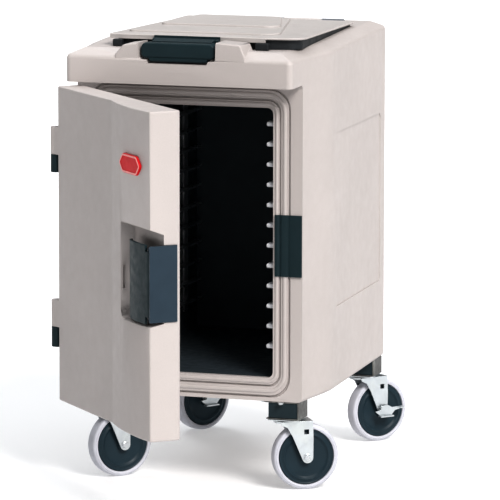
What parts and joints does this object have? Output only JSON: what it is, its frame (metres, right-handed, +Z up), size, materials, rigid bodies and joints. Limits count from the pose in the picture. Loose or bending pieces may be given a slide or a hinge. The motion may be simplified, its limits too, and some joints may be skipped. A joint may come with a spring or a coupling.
{
  "type": "insulated food carrier",
  "caption": "Front-loading insulated food carrier on four swivel casters, with a hinged door and pull grip, pan slides inside, and a latched lid on top.",
  "frame": {"origin": "centre of the bounding box in X and Y, on the floor, with the door part open as modelled", "axes": "+X to the carrier's right as seen from its front, +Y to its back, +Z up"},
  "size_m": [0.5283, 1.0505, 0.8668],
  "materials": {
    "shell_plastic": "satin, fine grain",
    "lid_plastic": "satin, fine grain",
    "liner_dark_plastic": "satin",
    "inner_panel_plastic": "satin",
    "rack_steel": "brushed",
    "black_rubber": "matte",
    "slate_nylon": "satin",
    "slate_nylon_plate": "satin",
    "badge_red": "gloss",
    "pin_steel": "bright",
    "hinge_steel": "dark",
    "zinc_plate": "bright zinc",
    "spacer_nylon": "satin",
    "hub_nylon": "satin",
    "tyre_grey_rubber": "matte, non-marking"
  },
  "bodies": {
    "carrier": {"body_shell": "shell_plastic", "cavity_liner": "liner_dark_plastic", "pan_rack_left": "rack_steel", "pan_rack_right": "rack_steel", "strike_plate": "slate_nylon", "hinge_leaf_upper": "slate_nylon", "hinge_leaf_lower": "slate_nylon", "hinge_pin_upper": "pin_steel", "hinge_pin_lower": "pin_steel", "lid_hinge_leaf": "hinge_steel", "lid_hinge_pin": "pin_steel", "lid_gasket": "black_rubber", "lid_bumper_left": "black_rubber", "lid_bumper_right": "black_rubber", "caster_spacer_fr": "spacer_nylon", "caster_riser_fr": "zinc_plate", "caster_plate_fr": "zinc_plate", "caster_spacer_fl": "spacer_nylon", "caster_riser_fl": "zinc_plate", "caster_plate_fl": "zinc_plate", "caster_spacer_rr": "spacer_nylon", "caster_riser_rr": "zinc_plate", "caster_plate_rr": "zinc_plate", "caster_spacer_rl": "spacer_nylon", "caster_riser_rl": "zinc_plate", "caster_plate_rl": "zinc_plate"},
    "door": {"door_shell": "shell_plastic", "door_inner_panel": "inner_panel_plastic", "door_gasket": "black_rubber", "door_badge": "badge_red", "latch_edge_plate": "slate_nylon_plate", "latch_pin": "pin_steel"},
    "door_grip": {"latch_grip": "slate_nylon"},
    "lid": {"lid_shell": "lid_plastic", "lid_latch_bracket": "slate_nylon", "lid_latch_pin": "pin_steel"},
    "lid_latch": {"lid_latch_bar": "slate_nylon"},
    "fork_fr": {"caster_fork_fr": "zinc_plate", "caster_axle_fr": "pin_steel"},
    "wheel_fr": {"caster_hub_fr": "hub_nylon", "caster_tyre_fr": "tyre_grey_rubber"},
    "fork_fl": {"caster_fork_fl": "zinc_plate", "caster_axle_fl": "pin_steel"},
    "wheel_fl": {"caster_hub_fl": "hub_nylon", "caster_tyre_fl": "tyre_grey_rubber"},
    "fork_rr": {"caster_fork_rr": "zinc_plate", "caster_axle_rr": "pin_steel"},
    "wheel_rr": {"caster_hub_rr": "hub_nylon", "caster_tyre_rr": "tyre_grey_rubber"},
    "pedal_rr": {"brake_pedal_rr": "zinc_plate"},
    "fork_rl": {"caster_fork_rl": "zinc_plate", "caster_axle_rl": "pin_steel"},
    "wheel_rl": {"caster_hub_rl": "hub_nylon", "caster_tyre_rl": "tyre_grey_rubber"},
    "pedal_rl": {"brake_pedal_rl": "zinc_plate"}
  },
  "joints": [
    {"name": "door_hinge", "type": "hinge", "parent": "carrier", "child": "door", "pos_m": [-0.2534, -0.1547, 0.46], "axis": [0, 0, -1], "range_deg": [-47.4, 126]},
    {"name": "door_grip_pull", "type": "hinge", "parent": "door", "child": "door_grip", "pos_m": [0.0598, -0.5086, 0.45], "axis": [0, 0, 1], "range_deg": [0, 26], "stiffness_Nm_per_rad": 0.5, "springref_deg": -8.59},
    {"name": "lid_hinge", "type": "hinge", "parent": "carrier", "child": "lid", "pos_m": [-0.0094, 0.3703, 0.852], "axis": [-1, 0, 0], "range_deg": [0, 95]},
    {"name": "lid_latch_swing", "type": "hinge", "parent": "lid", "child": "lid_latch", "pos_m": [-0.0094, -0.1082, 0.853], "axis": [-1, 0, 0], "range_deg": [0, 95]},
    {"name": "caster_swivel_fr", "type": "hinge", "parent": "carrier", "child": "fork_fr", "pos_m": [0.1756, -0.0627, 0.135], "axis": [0, 0, 1], "continuous": true},
    {"name": "wheel_spin_fr", "type": "hinge", "parent": "fork_fr", "child": "wheel_fr", "pos_m": [0.20528, -0.04415, 0.0635], "axis": [-0.5299, 0.848, 0], "continuous": true},
    {"name": "caster_swivel_fl", "type": "hinge", "parent": "carrier", "child": "fork_fl", "pos_m": [-0.1944, -0.0627, 0.135], "axis": [0, 0, 1], "continuous": true},
    {"name": "wheel_spin_fl", "type": "hinge", "parent": "fork_fl", "child": "wheel_fl", "pos_m": [-0.17098, -0.03669, 0.0635], "axis": [-0.7431, 0.6691, 0], "continuous": true},
    {"name": "caster_swivel_rr", "type": "hinge", "parent": "carrier", "child": "fork_rr", "pos_m": [0.1756, 0.4383, 0.135], "axis": [0, 0, 1], "continuous": true},
    {"name": "wheel_spin_rr", "type": "hinge", "parent": "fork_rr", "child": "wheel_rr", "pos_m": [0.1981, 0.46511, 0.0635], "axis": [-0.766, 0.6428, 0], "continuous": true},
    {"name": "brake_pedal_rr", "type": "hinge", "parent": "fork_rr", "child": "pedal_rr", "pos_m": [0.1981, 0.46511, 0.0635], "axis": [-0.766, 0.6428, 0], "range_deg": [-10, 12]},
    {"name": "caster_swivel_rl", "type": "hinge", "parent": "carrier", "child": "fork_rl", "pos_m": [-0.1944, 0.4383, 0.135], "axis": [0, 0, 1], "continuous": true},
    {"name": "wheel_spin_rl", "type": "hinge", "parent": "fork_rl", "child": "wheel_rl", "pos_m": [-0.17483, 0.46732, 0.0635], "axis": [-0.829, 0.5592, 0], "continuous": true},
    {"name": "brake_pedal_rl", "type": "hinge", "parent": "fork_rl", "child": "pedal_rl", "pos_m": [-0.17483, 0.46732, 0.0635], "axis": [-0.829, 0.5592, 0], "range_deg": [-10, 12]}
  ]
}
